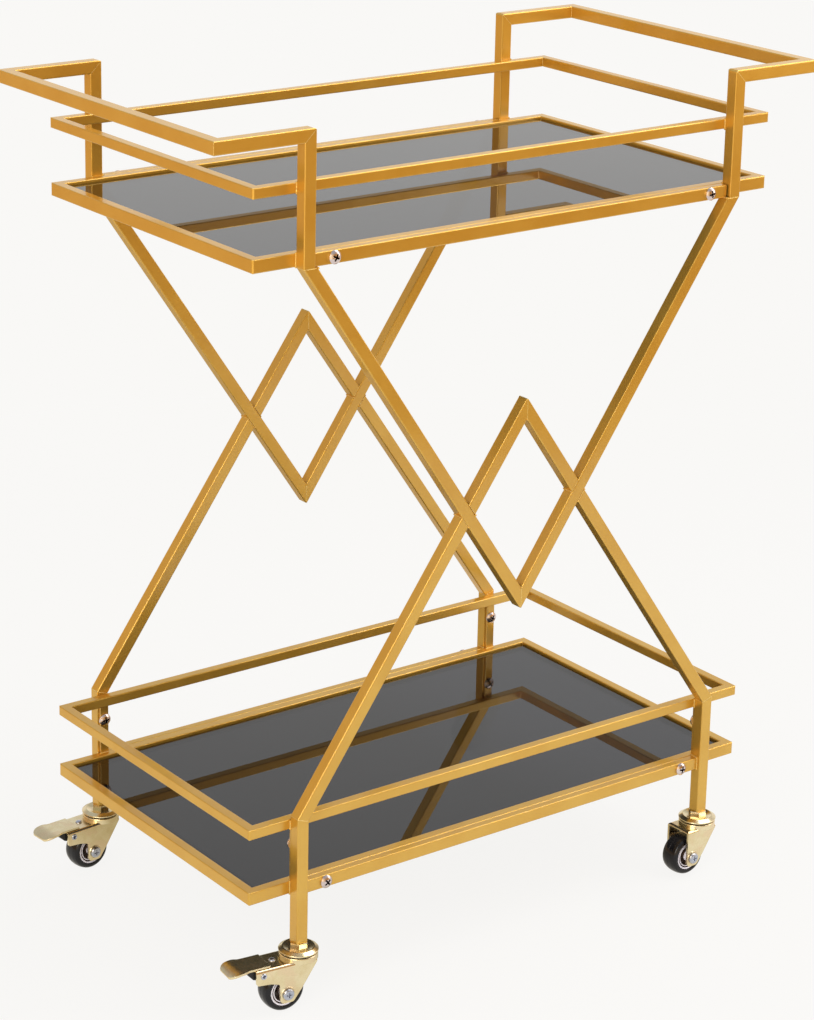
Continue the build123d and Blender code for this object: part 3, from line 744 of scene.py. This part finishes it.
tube = 12.7
half_tube = tube / 2
guard_tube = 10
post_inner = 247.3
post_outer = post_inner + tube
post_middle = post_inner + half_tube
rim_side = 174.3
tube_side = rim_side + tube
bar_thickness = 8.5
bar_side = rim_side + bar_thickness
strap_thickness = 3
strap_side = rim_side - strap_thickness
strap_half = 4.75
upper_rim = band(723.8, tube)
lower_rim = band(113.8, tube)
upper_guard = band(790.5, guard_tube)
lower_guard = band(180.5, guard_tube)
knee_gap = 2
v_angle = radians(55.34)
brace_angle = radians(54.75)
diamond = (358.9, 551.2)
crossing_x = (diamond[1] - diamond[0]) / (tan(v_angle) + tan(brace_angle))
crossing = (crossing_x, diamond[0] + crossing_x * tan(v_angle))
bead_crease = 60


def crossing_corners():
    """Four inside corners where the arm of the V crosses the brace, as (x, z)."""
    corners = []
    turn = sin(v_angle) * cos(brace_angle) + cos(v_angle) * sin(brace_angle)
    for v_side in (-half_tube, half_tube):
        for brace_side in (-half_tube, half_tube):
            x = (v_side * cos(brace_angle) + brace_side * cos(v_angle)) / turn
            z = (brace_side * sin(v_angle) - v_side * sin(brace_angle)) / turn
            corners.append((crossing[0] + x, crossing[1] + z))
    return corners


def corner_seams():
    """Seams of the front right quarter as pairs of points in millimetres, y counted outwards."""
    seams = []
    for x in (post_inner, post_outer):
        seams.append(((x, rim_side, upper_rim[0]), (x, rim_side, upper_rim[1])))
        seams.append(((x, rim_side, upper_guard[0]), (x, rim_side, upper_guard[1])))
        seams.append(((x, rim_side, lower_guard[0]), (x, rim_side, lower_guard[1] - knee_gap)))
    seams.append(((post_outer, rim_side, lower_rim[0]), (post_outer, rim_side, lower_rim[1])))
    for z in (upper_guard[0], lower_guard[0]):
        seams.append(((post_inner, rim_side, z), (post_outer, rim_side, z)))
    for z in (lower_rim[1], lower_guard[0]):
        seams.append(((post_middle - strap_half, strap_side, z),
                      (post_middle + strap_half, strap_side, z)))
    for z in lower_rim:
        seams.append(((post_inner, rim_side, z), (post_inner, bar_side, z)))
    seams.append(((post_inner, bar_side, lower_rim[0]), (post_inner, bar_side, lower_rim[1])))
    arm_x = ((upper_rim[0] - diamond[0]) * cos(v_angle) - half_tube) / sin(v_angle)
    seams.append(((arm_x, rim_side, upper_rim[0]), (arm_x, tube_side, upper_rim[0])))
    for x, z in crossing_corners():
        seams.append(((x, rim_side, z), (x, tube_side, z)))
    return seams


def tip_seams():
    """Seams inside the two tips of the diamond."""
    low = diamond[0] + half_tube / cos(v_angle)
    high = diamond[1] - half_tube / cos(brace_angle)
    return [((0, rim_side, z), (0, tube_side, z)) for z in (low, high)]


def seam_mesh():
    """Every seam of the cart as a loose edge."""
    points = []
    for side_y in (-1, 1):
        for side_x in (-1, 1):
            for ends in corner_seams():
                points += [(side_x * x * mm, side_y * y * mm, z * mm) for x, y, z in ends]
        for ends in tip_seams():
            points += [(x * mm, side_y * y * mm, z * mm) for x, y, z in ends]
    mesh = bpy.data.meshes.new("seams")
    mesh.from_pydata(points, [(i, i + 1) for i in range(0, len(points), 2)], [])
    return mesh


seams = seam_mesh()
print("seams", len(seams.edges))

# %% Lay the beads
weld_mesh = grown_mesh("weld_beads", seams, weld_bead, {"Finish": finishes["gold_paint"]},
                       bead_crease)
new_piece(weld_mesh, "cart_frame", "gold_paint")
print("bead faces", len(weld_mesh.polygons))

# %% [markdown]
# ## Screws
# Twelve nickel screws hold the trays: four heads show on each long side and two inside each
# end. A pan head is a low dome with a steep rim and a cross recess, whose walls and floor get a
# painted shade. One screw is made once in Geometry Nodes, domed by moving its points and cut by
# two blades, and then put on twelve points. Each point carries the direction that its head faces
# and the length of its shank.

# %% Screw tree
head_sides = 48
head_rings = 8
rim_rings = 4
shank_sides = 24
dome_power = 2.6
wall_slope = 0.4
floor_margin = 0.0002
cross_share = 0.62
most_spin = 1.5


def build_screw():
    """Domed screw with a cross recess on every point, its head facing the point's own way."""
    tree, inputs, outputs = group_tree(
        "pan_screw", "GeometryNodeTree",
        [("Places", "NodeSocketGeometry", None), ("Head Radius", "NodeSocketFloat", 0.0064),
         ("Head Height", "NodeSocketFloat", 0.004), ("Dome", "NodeSocketFloat", 0.0023),
         ("Cross Span", "NodeSocketFloat", 0.0072), ("Cross Width", "NodeSocketFloat", 0.0018),
         ("Cross Depth", "NodeSocketFloat", 0.0026), ("Shank Radius", "NodeSocketFloat", 0.0025),
         ("Seed", "NodeSocketInt", 7), ("Finish", "NodeSocketMaterial", None)],
        [("Geometry", "NodeSocketGeometry")])
    given = inputs.outputs
    blank = add(tree, "GeometryNodeMeshCylinder",
                {"Vertices": head_sides, "Side Segments": rim_rings, "Fill Segments": head_rings,
                 "Radius": given["Head Radius"], "Depth": given["Head Height"]},
                fill_type="TRIANGLE_FAN")
    spot = add(tree, "GeometryNodeInputPosition").outputs[0]
    parts = add(tree, "ShaderNodeSeparateXYZ", {0: spot})
    flat = add(tree, "ShaderNodeCombineXYZ", {0: parts.outputs[0], 1: parts.outputs[1]})
    reach = add(tree, "ShaderNodeVectorMath", {0: flat.outputs[0]},
                operation="LENGTH").outputs["Value"]
    share = math_node(tree, "DIVIDE", reach, given["Head Radius"])
    fall = math_node(tree, "POWER", share, dome_power)
    level = math_node(tree, "DIVIDE", parts.outputs[2], given["Head Height"])
    level = math_node(tree, "ADD", level, 0.5)
    fall = math_node(tree, "MULTIPLY", fall, level)
    fall = math_node(tree, "MULTIPLY", fall, given["Dome"])
    half = math_node(tree, "MULTIPLY", given["Head Height"], 0.5)
    lift = math_node(tree, "SUBTRACT", half, fall)
    shift = add(tree, "ShaderNodeCombineXYZ", {2: lift})
    head = add(tree, "GeometryNodeSetPosition", {"Geometry": blank.outputs["Mesh"],
                                                 "Offset": shift.outputs[0]}).outputs[0]
    narrow = given["Cross Width"]
    long = given["Cross Span"]
    deep = math_node(tree, "MULTIPLY", given["Cross Depth"], 2)
    above = add(tree, "ShaderNodeCombineXYZ", {2: given["Head Height"]})
    for width, length in ((narrow, long), (long, narrow)):
        size = add(tree, "ShaderNodeCombineXYZ", {0: width, 1: length, 2: deep})
        blade = add(tree, "GeometryNodeMeshCube", {"Size": size.outputs[0]})
        raised = add(tree, "GeometryNodeTransform", {"Geometry": blade.outputs["Mesh"],
                                                     "Translation": above.outputs[0]})
        cut = add(tree, "GeometryNodeMeshBoolean", {"Mesh 1": head, "Mesh 2": raised.outputs[0]},
                  operation="DIFFERENCE", solver="EXACT")
        head = cut.outputs["Mesh"]
    # Faces of the cross recess are marked here for a painted shade.
    steep = add(tree, "GeometryNodeInputNormal").outputs[0]
    steep = add(tree, "ShaderNodeSeparateXYZ", {0: steep}).outputs[2]
    steep = math_node(tree, "LESS_THAN", steep, wall_slope)
    floor_level = math_node(tree, "SUBTRACT", given["Head Height"], given["Cross Depth"])
    floor_level = math_node(tree, "ADD", floor_level, floor_margin)
    low = math_node(tree, "LESS_THAN", parts.outputs[2], floor_level)
    near = math_node(tree, "LESS_THAN", share, cross_share)
    marked = math_node(tree, "MULTIPLY", math_node(tree, "MAXIMUM", steep, low), near)
    head = add(tree, "GeometryNodeStoreNamedAttribute",
               {"Geometry": head, "Name": "recess", "Value": marked},
               data_type="FLOAT", domain="FACE").outputs[0]
    facing = add(tree, "GeometryNodeInputNamedAttribute", {"Name": "facing"},
                 data_type="FLOAT_VECTOR")
    aim = add(tree, "FunctionNodeAlignRotationToVector", {"Vector": facing.outputs[0]}, axis="Z")
    spin = add(tree, "FunctionNodeRandomValue", {2: 0.0, 3: most_spin, "Seed": given["Seed"]})
    about = add(tree, "ShaderNodeCombineXYZ", {2: spin.outputs[1]})
    turn = add(tree, "FunctionNodeEulerToRotation", {0: about.outputs[0]})
    aimed = add(tree, "FunctionNodeRotateRotation", {0: aim.outputs[0], 1: turn.outputs[0]},
                rotation_space="LOCAL")
    heads = add(tree, "GeometryNodeInstanceOnPoints", {"Points": given["Places"], "Instance": head,
                                                       "Rotation": aimed.outputs[0]})
    rod = add(tree, "GeometryNodeMeshCylinder",
              {"Vertices": shank_sides, "Radius": given["Shank Radius"], "Depth": 1.0})
    sunk = add(tree, "GeometryNodeTransform", {"Geometry": rod.outputs["Mesh"],
                                               "Translation": (0, 0, -0.5)})
    length = add(tree, "GeometryNodeInputNamedAttribute", {"Name": "shank"}, data_type="FLOAT")
    stretch = add(tree, "ShaderNodeCombineXYZ", {0: 1.0, 1: 1.0, 2: length.outputs[0]})
    shanks = add(tree, "GeometryNodeInstanceOnPoints",
                 {"Points": given["Places"], "Instance": sunk.outputs[0],
                  "Rotation": aimed.outputs[0], "Scale": stretch.outputs[0]})
    both = tree.nodes.new("GeometryNodeJoinGeometry")
    tree.links.new(heads.outputs[0], both.inputs[0])
    tree.links.new(shanks.outputs[0], both.inputs[0])
    whole = add(tree, "GeometryNodeRealizeInstances", {0: both.outputs[0]})
    plated_screws = add(tree, "GeometryNodeSetMaterial", {"Geometry": whole.outputs[0],
                                                          "Material": given["Finish"]})
    tree.links.new(plated_screws.outputs[0], outputs.inputs["Geometry"])
    return tree


pan_screw = build_screw()
print("screw nodes", len(pan_screw.nodes))

# %% Put in the screws
bar_screw_x = 224.4
strap_screw_z = 163.5
bar_shank = 14.7
strap_shank = 9
screw_crease = 32


def screw_places():
    """Points of the twelve screws with the way each head faces and the length of its shank."""
    places = []
    for side_y in (-1, 1):
        for side_x in (-1, 1):
            for rim in (upper_rim, lower_rim):
                spot = (side_x * bar_screw_x, side_y * bar_side, sum(rim) / 2)
                places.append((spot, (0, side_y, 0), bar_shank))
            spot = (side_x * post_middle, side_y * strap_side, strap_screw_z)
            places.append((spot, (0, -side_y, 0), strap_shank))
    mesh = bpy.data.meshes.new("screw_places")
    mesh.from_pydata([[value * mm for value in spot] for spot, _, _ in places], [], [])
    mesh.attributes.new("facing", "FLOAT_VECTOR", "POINT")
    mesh.attributes.new("shank", "FLOAT", "POINT")
    for index, (_, way, length) in enumerate(places):
        mesh.attributes["facing"].data[index].vector = way
        mesh.attributes["shank"].data[index].value = length * mm
    return mesh


screw_mesh = grown_mesh("tray_screws", screw_places(), pan_screw,
                        {"Finish": finishes["nickel_steel"]}, screw_crease)
new_piece(screw_mesh, "cart_frame", "nickel_steel", ["frame_screws"])
highest = max(point.co.y for point in screw_mesh.vertices)
print("screw faces", len(screw_mesh.polygons), "heads reach", round(highest, 5))

# %% [markdown]
# ## Wheels
# A tyre, a hub, a rivet, a pin and a pressed ring are all round things, so each is an outline
# turned about its axis, as on a lathe. The corners of each outline are eased first, because a
# moulded lip without a small radius shows no highlight and looks cut from paper. The joints of
# the frame say where each axle and pin is, so that the wheels land in their forks.

# %% Lathe
corners = ["front_right", "front_left", "back_right", "back_left"]
braked = ["front_left", "back_left"]
most_ease = 0.45
turned_crease = 42
small_segments = 48


def eased(outline, ease, closed=True, steps=4):
    """Outline whose corners are cut back by a length and rounded."""
    points = [Vector(point) for point in outline]
    result = []
    for index, point in enumerate(points):
        if not closed and index in (0, len(points) - 1):
            result.append(point)
            continue
        before = points[index - 1] - point
        after = points[(index + 1) % len(points)] - point
        reach = min(ease, before.length * most_ease, after.length * most_ease)
        start = point + before.normalized() * reach
        end = point + after.normalized() * reach
        for step in range(steps + 1):
            share = step / steps
            rest = 1 - share
            result.append(start * rest ** 2 + point * 2 * share * rest + end * share ** 2)
    return result


def mirrored_outline(half):
    """Whole outline from its front half, given as (along the axle, radius)."""
    return half + [(-along, radius) for along, radius in reversed(half)]


def lathe(name, outline, centre, axis, closed=True, segments=96):
    """Mesh of an outline in millimetres turned about an axis through a centre."""
    aside = axis.orthogonal().normalized()
    upward = axis.cross(aside)
    draft = bmesh.new()
    rings = []
    for along, radius in outline:
        count = segments if radius > 0 else 1
        ring = []
        for index in range(count):
            angle = 2 * pi * index / segments
            way = aside * cos(angle) + upward * sin(angle)
            ring.append(draft.verts.new(centre + (axis * along + way * radius) * mm))
        rings.append(ring)
    pairs = len(rings) if closed else len(rings) - 1
    for index in range(pairs):
        first = rings[index]
        second = rings[(index + 1) % len(rings)]
        for step in range(segments):
            turn = (step + 1) % segments
            quad = [first[step % len(first)], first[turn % len(first)],
                    second[turn % len(second)], second[step % len(second)]]
            draft.faces.new(list(dict.fromkeys(quad)))
    bmesh.ops.recalc_face_normals(draft, faces=draft.faces)
    mesh = bpy.data.meshes.new(name)
    draft.to_mesh(mesh)
    draft.free()
    mesh.shade_smooth()
    mesh.set_sharp_from_angle(angle=radians(turned_crease))
    return mesh


def mark_recess_shade(mesh, centre, axis, depth, reach):
    """Mark for a painted shade the faces of a turned piece that lie deeper than its rim, from a
    radius outwards.
    """
    mesh.attributes.new("recess", "FLOAT", "FACE")
    for index, face in enumerate(mesh.polygons):
        along = (face.center - centre).dot(axis)
        radius = (face.center - centre - axis * along).length
        deep = abs(along) < depth * mm and radius > reach * mm
        mesh.attributes["recess"].data[index].value = deep


def axle_of(corner):
    """Middle of a wheel and the direction of its axle, towards the back."""
    spin = joints[f"{corner}_wheel_spin"]
    return Vector(spin["pos_m"]), Vector(spin["axis"]).normalized()


def caster_point(corner, trail, height):
    """Point in a caster's middle plane, at a distance behind its swivel axis."""
    swivel = Vector(joints[f"{corner}_swivel"]["pos_m"])
    back = axle_of(corner)[0] - swivel
    back.z = 0
    swivel.z = 0
    return swivel + back.normalized() * trail * mm + up * height * mm


print("wheels at", [tuple(round(v, 3) for v in axle_of(corner)[0]) for corner in corners])

# %% Tyres and hubs
tyre_ease = 0.8
hub_ease = 0.45
recess_depth = 8
recess_reach = 5.8
tyre_outline = eased(mirrored_outline([
    (-9.4, 15.05), (-10.25, 15.6), (-10.25, 18.1), (-8.4, 20.1), (-4.6, 21.2), (-0.35, 21.5),
    (-0.2, 21.32)]), tyre_ease)
hub_outline = eased(mirrored_outline([
    (-9.25, 15), (-9.25, 13.2), (-6.2, 13), (-6.2, 12.2), (-8.7, 11.9), (-8.7, 10.9), (-1.2, 10.6),
    (-1.2, 6.4), (-8.6, 5.9), (-12.85, 5.5), (-12.85, 3.1)]), hub_ease)

for corner in corners:
    middle, axis = axle_of(corner)
    new_piece(lathe(f"{corner}_moulded_tyre", tyre_outline, middle, axis), f"{corner}_wheel",
              "tyre_rubber", [f"{corner}_tyre"])
    hub_mesh = lathe(f"{corner}_moulded_hub", hub_outline, middle, axis)
    mark_recess_shade(hub_mesh, middle, axis, recess_depth, recess_reach)
    new_piece(hub_mesh, f"{corner}_wheel", "hub_plastic", [f"{corner}_hub"])
print("wheel outlines", len(tyre_outline), len(hub_outline))

# %% [markdown]
# ## Pressed rings, rivets and pins
# The punch that makes the axle's hole raises a ring round it on both sides of the fork. The two
# braked forks also have a bright rivet on top, in front of the pedal, and their pedals turn on
# hollow pins whose ends are rolled over. They are small, but they catch the light.

# %% Rings, rivets and pins
ring_ease = 0.3
rivet_ease = 0.6
pin_ease = 0.35
fork_side = 15.55
plate_top = 52.1
rivet_trail = 28
ring_outline = eased([(-0.3, 6.1), (0.45, 6.3), (0.45, 7.1), (-0.3, 7.6)], ring_ease)
rivet_outline = eased([(-0.4, 0), (-0.4, 3.5), (0.5, 3.5), (1.5, 2.4), (1.8, 0)], rivet_ease,
                      closed=False)
pin_half = [(-13, 0), (-13, 1.2), (-16.55, 1.6), (-16.55, 2.8), (-15.6, 3.3), (-15.6, 2), (-1, 2)]
pin_outline = eased(mirrored_outline(pin_half), pin_ease, closed=False)

for corner in corners:
    middle, axis = axle_of(corner)
    for side, name in ((-1, "front"), (1, "back")):
        centre = middle + axis * side * fork_side * mm
        mesh = lathe(f"{corner}_{name}_ring", ring_outline, centre, axis * side,
                     segments=small_segments)
        new_piece(mesh, f"{corner}_caster", "yellow_zinc")
for corner in braked:
    axis = axle_of(corner)[1]
    top = caster_point(corner, rivet_trail, plate_top)
    mesh = lathe(f"{corner}_rivet", rivet_outline, top, up, closed=False,
                 segments=small_segments)
    new_piece(mesh, f"{corner}_caster", "blue_zinc")
    pivot = Vector(joints[f"{corner}_brake_press"]["pos_m"])
    mesh = lathe(f"{corner}_rolled_pin", pin_outline, pivot, axis, closed=False,
                 segments=small_segments)
    new_piece(mesh, f"{corner}_caster", "blue_zinc", [f"{corner}_brake_pin"])
print("small turned pieces", 2 * len(corners) + 2 * len(braked))

# %% [markdown]
# ## Sizes
# The dressed cart has to stay the size of its frame.

# %% Finish
bpy.context.view_layer.update()
